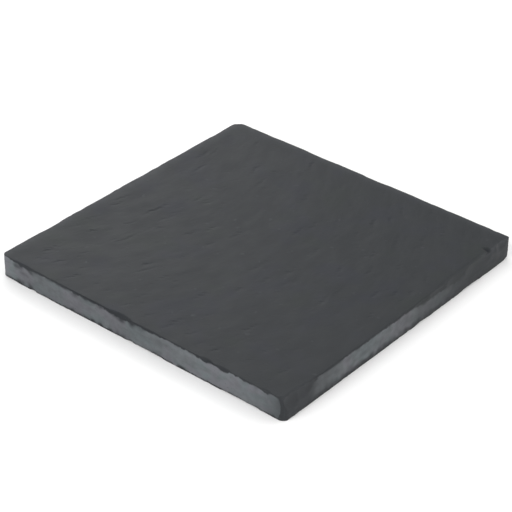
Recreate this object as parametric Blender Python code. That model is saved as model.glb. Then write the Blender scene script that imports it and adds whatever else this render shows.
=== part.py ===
"""A slate slab, split along its cleavage and cut 100 mm square and 7 mm thick.

The frame is in metres with +Z up. The origin is on the resting plane, under the middle of the slab, and the
cut sides face along X and Y. The top is a cleft face with low swells and torn layers that follow the grain.
Flakes have come off all the arrises, and the bevel that they leave deepens along the +X side.
"""

import math

import bmesh
import bpy
import numpy as np

MM = 0.001

# Driving dimensions
SIDE = 100 * MM
THICKNESS = 7 * MM
HALF = SIDE / 2
CORE_INSET = THICKNESS / 2

# Radius of each corner in plan, by the signs of its X and Y
CORNER_RADII = {
    (-1, -1): 1.5 * MM,
    (1, -1): 2.0 * MM,
    (-1, 1): 3.0 * MM,
    (1, 1): 0.6 * MM,
}

# Grid that the block is cut into before it is shaped, and the share of the faces that is kept
PLAN_CELLS = 168
SIDE_CELLS = 12
GRID_BEND = 0.80
TARGET_TRIANGLES = 9400

# Cleft grain: a line of the grain keeps (x + GRAIN_BOW * y * y) * exp(GRAIN_FAN * y) constant
GRAIN_BOW = 5.0
GRAIN_FAN = 4.0
LATTICE = 64
NOISE_GAIN = 1.6

# Height of the cleft top face: amplitude, cell across the grain, cell along the grain, seed
SWELLS = (
    (0.115 * MM, 34 * MM, 46 * MM, 11),
    (0.050 * MM, 8.5 * MM, 30 * MM, 12),
    (0.020 * MM, 3.2 * MM, 11 * MM, 13),
)
CREST = 0.16 * MM
# Towards the arrises the relief is calmed to a share of itself, over this width
EDGE_CALM = 9 * MM
EDGE_SHARE = 0.35

# Torn layers seen on the top: x, y, half length, drop and width, all in millimetres
TEARS = (
    (-34.3, -4.5, 6.6, 0.26, 2.6),
    (-39.8, -24.6, 2.6, 0.24, 1.8),
    (-30.2, -21.5, 4.2, 0.24, 2.2),
    (-40.3, 20.5, 3.6, 0.20, 1.8),
    (-27.5, 31.5, 6.0, 0.20, 2.2),
    (-21.5, 27.0, 5.0, 0.16, 1.8),
    (-17.0, 45.0, 4.5, 0.18, 1.8),
    (-6.2, 28.0, 5.5, 0.18, 2.4),
    (3.6, 12.6, 3.6, 0.17, 1.4),
    (-8.5, 0.4, 3.6, 0.18, 1.5),
    (-15.6, -1.5, 3.2, 0.14, 1.4),
    (-15.2, -29.0, 4.2, 0.20, 1.8),
    (6.4, -8.0, 6.5, 0.15, 2.0),
    (6.8, -42.2, 2.6, 0.22, 1.8),
    (4.0, -29.0, 4.6, 0.15, 2.0),
    (14.6, -4.8, 2.2, 0.19, 1.5),
    (13.4, 7.8, 4.0, 0.15, 1.5),
    (16.4, 30.8, 4.2, 0.26, 2.4),
    (19.0, 35.6, 2.4, 0.20, 1.6),
    (23.4, -32.0, 4.6, 0.20, 1.7),
    (26.4, 17.2, 2.4, 0.18, 1.6),
    (33.0, 31.0, 6.0, 0.13, 2.0),
    (30.5, -4.0, 5.5, 0.13, 1.8),
    (-28.0, -45.0, 3.4, 0.20, 1.8),
    (-42.0, -38.0, 4.0, 0.16, 1.8),
    (-36.0, -42.5, 2.6, 0.16, 1.6),
)
# Small tears scattered between them: how many, seed, and ranges in millimetres
SMALL_TEARS = 70
SMALL_TEAR_SEED = 21
SMALL_TEAR_PLACES = (-46, 46)
SMALL_TEAR_LENGTHS = (2.0, 5.0)
SMALL_TEAR_DROPS = (0.04, 0.10)
SMALL_TEAR_WIDTHS = (0.9, 1.8)
# Width over which a tear drops
SCARP = 0.22 * MM

# Underside: it rests on its highest layer, and the layer has come away in patches
SCAB_DEPTH = 0.38 * MM
SCAB_CELLS = (13 * MM, 22 * MM)
SCAB_FRAY = 0.3
SCAB_FRAY_CELLS = (4 * MM, 6 * MM)
SCAB_START = 0.30
SCAB_SCARP = 0.07
SCAB_FLOOR = 0.75
SCAB_SEED = 31
REST_RADIUS = 9 * MM
REST_BLEND = 2 * MM

# How far apart the waves of the four sides are read, across X and across Y, so that no two sides are alike
SIDES_APART = (7 * SIDE, 3 * SIDE)
# Waves in the cut sides: amplitude, cell along the side, cell up the side, seed
SIDE_WAVES = (
    (0.085 * MM, 14 * MM, 5.0 * MM, 41),
    (0.040 * MM, 3.4 * MM, 1.1 * MM, 42),
)

# Larger flakes: heading of the side in degrees, place along it, half length, drop and inset in millimetres.
# The place runs along +X on the sides that face -Y and +Y, and along +Y on the other two.
FRONT, RIGHT, BACK, LEFT = -90, 0, 90, 180
TOP_FLAKES = (
    (FRONT, -41.2, 4.6, 1.9, 0.45),
    (FRONT, -35.0, 2.6, 0.6, 0.25),
    (FRONT, -29.0, 3.4, 0.5, 0.25),
    (FRONT, -22.0, 3.0, 0.5, 0.20),
    (FRONT, -14.0, 5.0, 0.6, 0.30),
    (FRONT, -5.5, 4.6, 0.8, 1.00),
    (FRONT, 5.0, 5.0, 0.6, 0.30),
    (FRONT, 14.5, 4.0, 0.5, 0.25),
    (FRONT, 24.2, 2.4, 1.3, 0.45),
    (FRONT, 29.9, 2.9, 1.1, 0.45),
    (FRONT, 36.5, 4.0, 0.5, 0.25),
    (FRONT, 43.7, 1.8, 1.5, 0.70),
    (RIGHT, -47.5, 5.0, 4.4, 1.30),
    (RIGHT, -43.0, 5.5, 3.4, 0.90),
    (RIGHT, -37.6, 3.0, 1.6, 0.55),
    (RIGHT, -30.0, 4.4, 1.0, 0.40),
    (RIGHT, -22.5, 5.0, 0.9, 0.35),
    (RIGHT, -14.0, 5.2, 1.0, 0.40),
    (RIGHT, -6.0, 4.6, 1.1, 0.40),
    (RIGHT, 1.5, 4.6, 1.0, 0.40),
    (RIGHT, 8.5, 5.0, 1.6, 0.50),
    (RIGHT, 16.0, 6.0, 2.2, 0.60),
    (RIGHT, 24.0, 6.5, 3.0, 0.80),
    (RIGHT, 34.5, 8.5, 4.2, 0.80),
    (RIGHT, 42.0, 6.5, 1.6, 1.00),
    (RIGHT, 40.1, 1.6, 1.0, 1.50),
    (BACK, 38.0, 6.0, 1.1, 0.18),
    (BACK, 22.0, 7.5, 0.9, 0.20),
    (BACK, 3.0, 6.0, 1.3, 0.30),
    (BACK, -17.0, 8.0, 1.0, 0.25),
    (BACK, -36.0, 5.0, 1.5, 0.25),
    (LEFT, 40.0, 5.0, 1.2, 0.18),
    (LEFT, 24.0, 8.0, 0.9, 0.16),
    (LEFT, 7.0, 5.0, 1.4, 0.22),
    (LEFT, -12.0, 8.0, 1.0, 0.20),
    (LEFT, -31.0, 6.0, 1.6, 0.30),
)
UNDER_FLAKES = (
    (FRONT, -38.0, 1.6, 0.5, 0.45),
    (FRONT, -2.0, 1.8, 0.5, 0.45),
    (FRONT, 31.8, 1.4, 0.3, 0.30),
    (RIGHT, 8.0, 2.4, 0.5, 0.35),
    (RIGHT, 30.0, 4.0, 0.5, 0.35),
    (BACK, 12.0, 3.0, 1.0, 1.00),
    (BACK, -30.0, 4.2, 0.8, 1.00),
    (LEFT, 22.0, 3.6, 0.9, 1.10),
    (LEFT, -20.0, 2.6, 0.7, 0.80),
)
# Flakes across the corners: x sign, y sign, half length, drop and inset in millimetres
CORNER_FLAKES = (
    (1, -1, 3.6, 0.9, 1.20),
    (1, 1, 1.4, 0.4, 0.20),
    (-1, 1, 2.6, 0.6, 0.30),
    (-1, -1, 1.8, 0.7, 0.25),
)
# How far the hollow of a flake bends from a flat bevel, in drops
FLAKE_HOLLOW = 0.6

# Small flakes scattered along every arris: range of spacings, half lengths, drops and insets in millimetres
SMALL_FLAKE_STEPS = (1.25, 4.95)
SMALL_FLAKE_LENGTHS = (0.8, 2.6)
SMALL_FLAKE_DROPS = {THICKNESS: (0.15, 0.55), 0.0: (0.08, 0.30)}
SMALL_FLAKE_INSETS = (0.08, 0.26)
SMALL_FLAKE_SEED = 51

SLATE_COLOUR = (0.068, 0.073, 0.079, 1.0)
SLATE_ROUGHNESS = 0.55


def clear_scene():
    """Remove every object, so that the slab is all that the file holds."""
    for item in list(bpy.data.objects):
        bpy.data.objects.remove(item, do_unlink=True)


def slate_material():
    """Dark blue-grey slate with a low satin sheen."""
    material = bpy.data.materials.new("slate")
    material.use_nodes = True
    shader = material.node_tree.nodes["Principled BSDF"]
    shader.inputs["Base Color"].default_value = SLATE_COLOUR
    shader.inputs["Roughness"].default_value = SLATE_ROUGHNESS
    shader.inputs["Metallic"].default_value = 0.0
    return material


def block_mesh():
    """A cube from -1 to 1 cut into a grid, finer in plan than up its sides."""
    bm = bmesh.new()
    bmesh.ops.create_cube(bm, size=2.0)
    upright = [e for e in bm.edges if abs(e.verts[0].co.z - e.verts[1].co.z) > 1.0]
    bmesh.ops.subdivide_edges(bm, edges=upright, cuts=SIDE_CELLS - 1, use_grid_fill=True)
    level = [e for e in bm.edges if abs(e.verts[0].co.z - e.verts[1].co.z) < 1e-6]
    bmesh.ops.subdivide_edges(bm, edges=level, cuts=PLAN_CELLS - 1, use_grid_fill=True)
    bmesh.ops.recalc_face_normals(bm, faces=bm.faces)
    mesh = bpy.data.meshes.new("slate_slab")
    bm.to_mesh(mesh)
    bm.free()
    return mesh


def smooth_step(t):
    """0 below 0, 1 above 1, and an even rise between them."""
    t = np.clip(t, 0.0, 1.0)
    return t * t * (3.0 - 2.0 * t)


def noise(x, y, cell_x, cell_y, seed):
    """Smooth seeded gradient noise, about -1 to 1, on a lattice with the given cells."""
    turn = np.random.default_rng(seed).uniform(0.0, 2 * math.pi, (LATTICE, LATTICE))
    across, along = x / cell_x, y / cell_y
    column, row = np.floor(across).astype(int), np.floor(along).astype(int)
    tx, ty = across - column, along - row

    def slope(right, up):
        """Height at each point of the plane that leans from one corner of its cell."""
        angle = turn[(column + right) % LATTICE, (row + up) % LATTICE]
        return np.cos(angle) * (tx - right) + np.sin(angle) * (ty - up)

    low = slope(0, 0) + smooth_step(tx) * (slope(1, 0) - slope(0, 0))
    high = slope(0, 1) + smooth_step(tx) * (slope(1, 1) - slope(0, 1))
    return NOISE_GAIN * (low + smooth_step(ty) * (high - low))


def grain(x, y):
    """Place across the cleft grain: it is constant along each line of the grain."""
    return (x + GRAIN_BOW * y * y) * np.exp(GRAIN_FAN * y)


def all_tears():
    """The tears seen on the top and small seeded ones between them, in metres."""
    rng = np.random.default_rng(SMALL_TEAR_SEED)
    ranges = (SMALL_TEAR_PLACES, SMALL_TEAR_PLACES, SMALL_TEAR_LENGTHS, SMALL_TEAR_DROPS, SMALL_TEAR_WIDTHS)
    small = np.column_stack([rng.uniform(*limits, SMALL_TEARS) for limits in ranges])
    return np.vstack((np.array(TEARS), small)) * MM


def torn_layers(x, y):
    """Depth of the tears: each drops sharply across the grain, then climbs back over its width."""
    depth = np.zeros_like(x)
    across_all = grain(x, y)
    for cx, cy, half_length, drop, width in all_tears():
        along = np.clip(np.abs(y - cy) / half_length, 0.0, 1.0)
        across = (across_all - grain(cx, cy)) * math.exp(-GRAIN_FAN * cy)
        fall = smooth_step(across / SCARP + 0.5)
        climb = np.clip(1.0 - across / width, 0.0, 1.0) ** 2
        depth += drop * (1.0 - along**2) ** 2 * fall * climb
    return depth


def top_height(x, y):
    """Height of the cleft top over its highest plane, so never above 0."""
    across = grain(x, y)
    to_edge = HALF - np.maximum(np.abs(x), np.abs(y))
    calm = EDGE_SHARE + (1 - EDGE_SHARE) * smooth_step(to_edge / EDGE_CALM)
    height = np.zeros_like(x)
    for size, cell_across, cell_along, seed in SWELLS:
        height += size * noise(across, y, cell_across, cell_along, seed)
    return np.minimum(height * calm - CREST * calm, 0.0) - torn_layers(x, y)


def underside_height(x, y):
    """Depth of the patches that have come away from the resting layer, so never below 0."""
    wander = noise(x, y, *SCAB_CELLS, SCAB_SEED) + SCAB_FRAY * noise(x, y, *SCAB_FRAY_CELLS, SCAB_SEED + 1)
    patch = smooth_step((wander - SCAB_START) / SCAB_SCARP)
    floor = SCAB_FLOOR + (1 - SCAB_FLOOR) * noise(x, y, *SCAB_FRAY_CELLS, SCAB_SEED + 2)
    kept = smooth_step((np.hypot(x, y) - REST_RADIUS) / REST_BLEND)
    return SCAB_DEPTH * patch * floor * kept


def side_depth(points):
    """How far the cut sides are worn back, by height and by place along the side."""
    x, y, z = points.T
    apart_x, apart_y = SIDES_APART
    lengthways = np.where(np.abs(x) > np.abs(y), y + apart_x * np.sign(x), x + apart_y * np.sign(y))
    depth = np.zeros_like(x)
    for size, cell_along, cell_up, seed in SIDE_WAVES:
        depth += size * (1.0 + noise(lengthways, z, cell_along, cell_up, seed))
    return depth


def flake_frame(heading, place, level):
    """The arris point of a flake on a side, and its outward, lengthways and upward directions."""
    angle = math.radians(heading)
    outward = np.array((math.cos(angle), math.sin(angle), 0.0))
    lengthways = np.abs(np.array((math.sin(angle), math.cos(angle), 0.0)))
    upward = np.array((0.0, 0.0, 1.0 if level > 0 else -1.0))
    return outward * HALF + lengthways * place + (0.0, 0.0, level), outward, lengthways, upward


def corner_frame(sign_x, sign_y):
    """The same for a flake across a corner of the top, where the rounded plan meets the diagonal."""
    outward = np.array((sign_x, sign_y, 0.0)) / math.sqrt(2)
    radius = CORNER_RADII[sign_x, sign_y]
    reach = math.sqrt(2) * (HALF - radius) + radius
    lengthways = np.array((-outward[1], outward[0], 0.0))
    return outward * reach + (0.0, 0.0, THICKNESS), outward, lengthways, np.array((0.0, 0.0, 1.0))


def small_flakes(level, seed):
    """Small seeded flakes along the four sides at one level, each as its frame and its sizes."""
    rng = np.random.default_rng(seed)
    flakes = []
    for heading in (FRONT, RIGHT, BACK, LEFT):
        place = -HALF / MM
        while place < HALF / MM:
            place += rng.uniform(*SMALL_FLAKE_STEPS)
            ranges = (SMALL_FLAKE_LENGTHS, SMALL_FLAKE_DROPS[level], SMALL_FLAKE_INSETS)
            sizes = [rng.uniform(*limits) for limits in ranges]
            flakes.append((flake_frame(heading, place * MM, level), sizes))
    return flakes


def all_flakes():
    """Every flake as its frame and its half length, drop and inset in millimetres."""
    flakes = [(flake_frame(f[0], f[1] * MM, THICKNESS), f[2:]) for f in TOP_FLAKES]
    flakes += [(flake_frame(f[0], f[1] * MM, 0.0), f[2:]) for f in UNDER_FLAKES]
    flakes += [(corner_frame(f[0], f[1]), f[2:]) for f in CORNER_FLAKES]
    flakes += small_flakes(THICKNESS, SMALL_FLAKE_SEED)
    flakes += small_flakes(0.0, SMALL_FLAKE_SEED + 1)
    return flakes


def flaked(points, core):
    """Points pulled towards the slab's core until they are out of every flake's ellipsoid.

    In a flake's own scaled frame the ellipsoid is a sphere that passes through the drop on the side and the
    inset on the face. A point inside it moves along its line to the core, to where the line enters.
    """
    radius_squared = FLAKE_HOLLOW**2 + (1 + FLAKE_HOLLOW) ** 2
    length_scale = math.sqrt(radius_squared - 2 * FLAKE_HOLLOW**2)
    share = np.ones(len(points))
    for (origin, outward, lengthways, upward), (half_length, drop, inset) in all_flakes():
        axes = np.array((lengthways, outward, upward)).T / (
            np.array((half_length / length_scale, inset, drop)) * MM
        )
        centre = np.array((0.0, FLAKE_HOLLOW, FLAKE_HOLLOW))
        start = (core - origin) @ axes - centre
        path = (points - core) @ axes
        a = np.einsum("ij,ij->i", path, path)
        b = np.einsum("ij,ij->i", path, start)
        c = np.einsum("ij,ij->i", start, start) - radius_squared
        inside = b * b - a * c
        hit = (inside > 0) & (c > 0) & (b < 0)
        entry = np.ones(len(points))
        entry[hit] = (-b[hit] - np.sqrt(inside[hit])) / a[hit]
        share = np.minimum(share, entry)
    return core + (points - core) * share[:, None]


def rounded_plan(x, y):
    """The square plan with its corners turned to arcs."""
    radius = np.zeros_like(x)
    for (sign_x, sign_y), corner_radius in CORNER_RADII.items():
        radius[(sign_x * x >= 0) & (sign_y * y >= 0)] = corner_radius
    over_x = np.maximum(np.abs(x) - (HALF - radius), 0.0)
    over_y = np.maximum(np.abs(y) - (HALF - radius), 0.0)
    both = (over_x > 0) & (over_y > 0)
    reach = np.where(both, np.hypot(over_x, over_y), 1.0)
    pull = np.where(both, np.maximum(over_x, over_y) / reach, 1.0)
    return x - np.sign(x) * over_x * (1 - pull), y - np.sign(y) * over_y * (1 - pull)


def bent(t, bend):
    """A grid place from -1 to 1, moved so that the cells are finer near both ends."""
    return np.sin(t * bend * math.pi / 2) / math.sin(bend * math.pi / 2)


def slab_points(unit):
    """The cube's grid points carried to the surface of the slab."""
    x, y = rounded_plan(HALF * bent(unit[:, 0], GRID_BEND), HALF * bent(unit[:, 1], GRID_BEND))
    up = (1.0 + bent(unit[:, 2], GRID_BEND)) / 2
    z = THICKNESS * up + top_height(x, y) * up**2 + underside_height(x, y) * (1 - up) ** 2
    points = np.column_stack((x, y, z))
    core = np.clip(points, CORE_INSET - HALF, HALF - CORE_INSET)
    core[:, 2] = THICKNESS / 2
    outward = (points - core)[:, :2] / CORE_INSET
    points[:, :2] -= outward * side_depth(points)[:, None]
    return flaked(points, core)


def build_slab(collection):
    """The slab: a gridded block shaped point by point, then thinned where it is flat."""
    mesh = block_mesh()
    unit = np.empty(len(mesh.vertices) * 3)
    mesh.vertices.foreach_get("co", unit)
    points = slab_points(unit.reshape(-1, 3))
    mesh.vertices.foreach_set("co", points.ravel())
    mesh.update()
    mesh.materials.append(slate_material())
    slab = bpy.data.objects.new("slate_slab", mesh)
    collection.objects.link(slab)
    thin = slab.modifiers.new("thinned", "DECIMATE")
    thin.decimate_type = "COLLAPSE"
    thin.ratio = TARGET_TRIANGLES / (2 * len(mesh.polygons))
    thin.use_collapse_triangulate = True
    return slab


def main():
    """Build the slab in a collection of its own."""
    clear_scene()
    collection = bpy.data.collections.new("Slate slab")
    bpy.context.scene.collection.children.link(collection)
    build_slab(collection)


main()
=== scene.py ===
"""Looks of a slate slab: its split faces, flaked arrises and cut sides, on a pale studio floor.

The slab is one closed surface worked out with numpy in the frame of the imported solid: metres, +Z up, and the
origin under its middle. The side that faces -Y is the front, and the one that faces +X is the right.
"""

import logging
import math
from dataclasses import dataclass, field
from enum import Enum
from typing import NamedTuple

import bpy
import numpy as np
from mathutils import Matrix, Vector
from numpy.typing import NDArray


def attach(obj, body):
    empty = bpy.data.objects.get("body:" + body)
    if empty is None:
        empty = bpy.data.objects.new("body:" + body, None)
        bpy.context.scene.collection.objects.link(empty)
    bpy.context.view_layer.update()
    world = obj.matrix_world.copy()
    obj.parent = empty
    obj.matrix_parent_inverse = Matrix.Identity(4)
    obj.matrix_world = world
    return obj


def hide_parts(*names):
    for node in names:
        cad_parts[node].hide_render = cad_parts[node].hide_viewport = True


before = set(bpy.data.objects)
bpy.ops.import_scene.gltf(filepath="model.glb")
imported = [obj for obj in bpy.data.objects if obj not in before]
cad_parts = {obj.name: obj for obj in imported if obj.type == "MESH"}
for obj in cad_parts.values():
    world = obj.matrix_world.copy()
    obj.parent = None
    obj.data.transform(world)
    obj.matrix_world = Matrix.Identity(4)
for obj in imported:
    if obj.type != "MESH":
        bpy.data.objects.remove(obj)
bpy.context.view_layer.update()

Array = NDArray[np.float64]
Indices = NDArray[np.int64]
Colour = tuple[float, float, float]
Socket = bpy.types.NodeSocket

MM = 0.001
NODE = "slate_slab"
BODY = "root"

log = logging.getLogger("slate slab")


class Side(Enum):
    """The four cut sides, by the heading of each in degrees."""

    FRONT = -90
    RIGHT = 0
    BACK = 90
    LEFT = 180


def smooth_step(t: Array) -> Array:
    """0 below 0, 1 above 1, and an even rise between them."""
    t = np.clip(t, 0.0, 1.0)
    return t * t * (3.0 - 2.0 * t)


def towards(heading: float, climb: float) -> Vector:
    """A unit vector, by its heading from +X towards +Y and its climb over the floor, both in radians."""
    level = math.cos(climb)
    return Vector((level * math.cos(heading), level * math.sin(heading), math.sin(climb)))


def add_object(name: str, data: bpy.types.ID) -> bpy.types.Object:
    """Add an object to the scene.

    Args:
        name: its name.
        data: its mesh, light or camera.

    Returns:
        The object, at the origin.
    """
    made = bpy.data.objects.new(name, data)
    bpy.context.scene.collection.objects.link(made)
    return made


def corner_pull(first: Array, second: Array) -> Array:
    """How a square's corner is turned to a quarter disc.

    A point of the square is pulled towards its inner corner by its larger part over its distance from there.

    Args:
        first: how far points are past the inner corner one way, 0 or less outside the square.
        second: how far they are past it the other way.

    Returns:
        The share of both parts that is taken away, one to a point.
    """
    inside = (first > 0) & (second > 0)
    reach = np.where(inside, np.hypot(first, second), 1.0)
    return np.where(inside, 1 - np.maximum(first, second) / reach, 0.0)


@dataclass(frozen=True)
class Noise:
    """Smooth seeded gradient noise, about -1 to 1.

    Each corner of a square lattice holds a plane that leans its own way, and the four planes round a point
    are blended by its place in its cell.
    """

    cell_across: float
    cell_along: float
    seed: int
    lattice: int = 64
    gain: float = 1.6

    def at(self, x: Array, y: Array) -> Array:
        """Value of the noise at each point.

        Args:
            x: place across the cells, in metres.
            y: place along the cells, in metres.

        Returns:
            The noise, of the same shape as x.
        """
        turn = np.random.default_rng(self.seed).uniform(0.0, 2 * math.pi, (self.lattice, self.lattice))
        across, along = x / self.cell_across, y / self.cell_along
        column, row = np.floor(across).astype(int), np.floor(along).astype(int)
        tx, ty = across - column, along - row

        def slope(right: int, up: int) -> Array:
            """Height at each point of the plane that leans from one corner of its cell."""
            angle = turn[(column + right) % self.lattice, (row + up) % self.lattice]
            return np.cos(angle) * (tx - right) + np.sin(angle) * (ty - up)

        low = slope(0, 0) + smooth_step(tx) * (slope(1, 0) - slope(0, 0))
        high = slope(0, 1) + smooth_step(tx) * (slope(1, 1) - slope(0, 1))
        return self.gain * (low + smooth_step(ty) * (high - low))


@dataclass(frozen=True)
class Grain:
    """Direction of the cleft grain: each line of it keeps (x + bow * y * y) * exp(fan * y) constant."""

    bow: float = 5.0
    fan: float = 4.0

    def across(self, x: Array, y: Array) -> Array:
        """Place across the grain, constant along each of its lines."""
        return (x + self.bow * y * y) * np.exp(self.fan * y)


class Swell(NamedTuple):
    """One layer of relief: its amplitude in millimetres, and its noise."""

    size: float
    noise: Noise


class Tears(NamedTuple):
    """A scatter of small tears: their number and seed, and ranges of half length, drop and width.

    Lengths are in millimetres.
    """

    count: int
    seed: int
    half_lengths: tuple[float, float]
    drops: tuple[float, float]
    widths: tuple[float, float]

    def rows(self, reach: float = 46.0) -> Array:
        """The tears, anywhere on the face.

        Args:
            reach: how far from the middle they lie, along X and Y.

        Returns:
            Rows of x, y, half length, drop and width.
        """
        rng = np.random.default_rng(self.seed)
        ranges = ((-reach, reach), (-reach, reach), self.half_lengths, self.drops, self.widths)
        return np.column_stack([rng.uniform(*limits, self.count) for limits in ranges])


@dataclass
class CleftFace:
    """The split top: low swells that follow the grain, and layers torn away in short steps."""

    grain: Grain = Grain()
    swells: tuple[Swell, ...] = (
        Swell(0.115, Noise(34 * MM, 46 * MM, 11)),
        Swell(0.042, Noise(8.5 * MM, 30 * MM, 12)),
        Swell(0.014, Noise(3.2 * MM, 11 * MM, 13)),
        Swell(0.007, Noise(1.2 * MM, 2.4 * MM, 14)),
    )
    crest: float = 0.16 * MM
    edge_calm: float = 9 * MM
    edge_share: float = 0.35
    edge_fall: float = 0.05 * MM
    edge_width: float = 3.5 * MM
    scarp: float = 0.34 * MM
    ragged: Noise = Noise(1.3 * MM, 0.9 * MM, 31)
    wander: float = 0.75 * MM
    crumble: float = 0.7
    tears: tuple[tuple[float, ...], ...] = (
        (-34.3, -4.5, 6.6, 0.16, 2.6), (-39.8, -24.6, 2.6, 0.17, 1.8), (-30.2, -21.5, 4.2, 0.15, 2.2),
        (-40.3, 20.5, 3.6, 0.18, 1.8), (-27.5, 31.5, 6.0, 0.10, 2.2), (-21.5, 27.0, 5.0, 0.10, 1.8),
        (-17.0, 45.0, 4.5, 0.14, 1.8), (-6.2, 28.0, 5.5, 0.10, 2.4), (3.6, 12.6, 3.6, 0.20, 1.4),
        (-8.5, 0.4, 3.6, 0.13, 1.5), (-15.6, -1.5, 3.2, 0.12, 1.4), (-15.2, -29.0, 4.2, 0.11, 1.8),
        (6.4, -8.0, 6.5, 0.09, 2.0), (6.8, -42.2, 2.6, 0.18, 1.8), (4.0, -29.0, 4.6, 0.10, 2.0),
        (14.6, -4.8, 2.2, 0.17, 1.5), (13.4, 7.8, 4.0, 0.15, 1.5), (16.4, 30.8, 4.2, 0.19, 2.4),
        (19.0, 35.6, 2.4, 0.16, 1.6), (23.4, -32.0, 4.6, 0.12, 1.7), (26.4, 17.2, 2.4, 0.18, 1.6),
        (33.0, 31.0, 6.0, 0.09, 2.0), (30.5, -4.0, 5.5, 0.07, 1.8), (-28.0, -45.0, 3.4, 0.14, 1.8),
        (-42.0, -38.0, 4.0, 0.11, 1.8), (-36.0, -42.5, 2.6, 0.11, 1.6),
    )
    scatters: tuple[Tears, ...] = (
        Tears(100, 21, (1.2, 3.8), (0.04, 0.15), (0.9, 2.2)),
        Tears(420, 22, (0.7, 2.6), (0.02, 0.07), (0.6, 1.2)),
    )

    def torn(self, x: Array, y: Array, half: float) -> Array:
        """Depth of the torn layers.

        Each tear drops over the scarp across the grain, climbs back over its width as the square of what is
        left, and fades to both of its ends as the square of 1 less the square of the way along. A noise makes
        its line wander and its drop crumble.

        Args:
            x: place along X in metres.
            y: place along Y in metres.
            half: half the slab's side in metres.

        Returns:
            The depth below the untorn face, in metres.
        """
        depth = np.zeros_like(x)
        rough = self.ragged.at(x, y)
        across_all = self.grain.across(x, y)
        rows = np.vstack([np.array(self.tears)] + [scatter.rows() for scatter in self.scatters]) * MM
        for cx, cy, half_length, drop, width in rows:
            near = (np.abs(y - cy) < half_length) & (np.abs(x) <= half)
            along = np.abs(y[near] - cy) / half_length
            across = (across_all[near] - self.grain.across(cx, cy)) * math.exp(-self.grain.fan * cy)
            across += self.wander * rough[near]
            fall = smooth_step(across / self.scarp + 0.5)
            climb = np.clip(1.0 - across / width, 0.0, 1.0) ** 2
            depth[near] += drop * (1 + self.crumble * rough[near]) * (1.0 - along**2) ** 2 * fall * climb
        return depth

    def height(self, x: Array, y: Array, half: float) -> Array:
        """Height over the face's highest plane, so never above 0.

        The swells are summed, calmed towards the arrises, lowered by the crest and cut off at 0, and the torn
        layers are taken away. The face falls to its edges by the square of the way over a narrow strip.

        Args:
            x: place along X in metres.
            y: place along Y in metres.
            half: half the slab's side in metres.

        Returns:
            The height in metres, 0 or less.
        """
        across = self.grain.across(x, y)
        to_edge = half - np.maximum(np.abs(x), np.abs(y))
        calm = self.edge_share + (1 - self.edge_share) * smooth_step(to_edge / self.edge_calm)
        total = sum(swell.size * MM * swell.noise.at(across, y) for swell in self.swells)
        fall = self.edge_fall * np.clip(1 - to_edge / self.edge_width, 0.0, 1.0) ** 2
        return np.minimum((total - self.crest) * calm, 0.0) - self.torn(x, y, half) - fall


@dataclass
class RestingFace:
    """The underside: the slab rests on its outermost layer, which has come away in shallow patches."""

    depth: float = 0.38 * MM
    patches: Noise = Noise(13 * MM, 22 * MM, 31)
    frays: Noise = Noise(4 * MM, 6 * MM, 32)
    floors: Noise = Noise(4 * MM, 6 * MM, 33)
    fray: float = 0.3
    start: float = 0.30
    scarp: float = 0.07
    floor_sway: float = 0.25
    kept_radius: float = 9 * MM
    kept_blend: float = 2 * MM

    def height(self, x: Array, y: Array) -> Array:
        """Height of the patches: each is where the summed noises pass its start, and its floor sways.

        Args:
            x: place along X in metres.
            y: place along Y in metres.

        Returns:
            The height over the resting plane in metres, never below 0.
        """
        wander = self.patches.at(x, y) + self.fray * self.frays.at(x, y)
        patch = smooth_step((wander - self.start) / self.scarp)
        floor = 1 - self.floor_sway + self.floor_sway * self.floors.at(x, y)
        kept = smooth_step((np.hypot(x, y) - self.kept_radius) / self.kept_blend)
        return self.depth * patch * floor * kept


@dataclass
class CutSides:
    """The cut sides, which are worn back a little in shallow waves that run along them."""

    waves: tuple[Swell, ...] = (
        Swell(0.085, Noise(14 * MM, 5.0 * MM, 41)),
        Swell(0.040, Noise(3.4 * MM, 1.1 * MM, 42)),
        Swell(0.015, Noise(1.1 * MM, 0.5 * MM, 43)),
    )
    sides_apart: tuple[float, float] = (7.0, 3.0)

    def depth(self, points: Array, side: float) -> Array:
        """How far the sides are worn back: each wave's noise and 1, times its size.

        Args:
            points: the surface's points, one to a row.
            side: the slab's side, which keeps the noise of the four sides apart.

        Returns:
            The depth in metres, one to a point.
        """
        x, y, z = points.T
        apart_x, apart_y = (sides * side for sides in self.sides_apart)
        lengthways = np.where(np.abs(x) > np.abs(y), y + apart_x * np.sign(x), x + apart_y * np.sign(y))
        return sum(wave.size * MM * (1.0 + wave.noise.at(lengthways, z)) for wave in self.waves)


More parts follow.
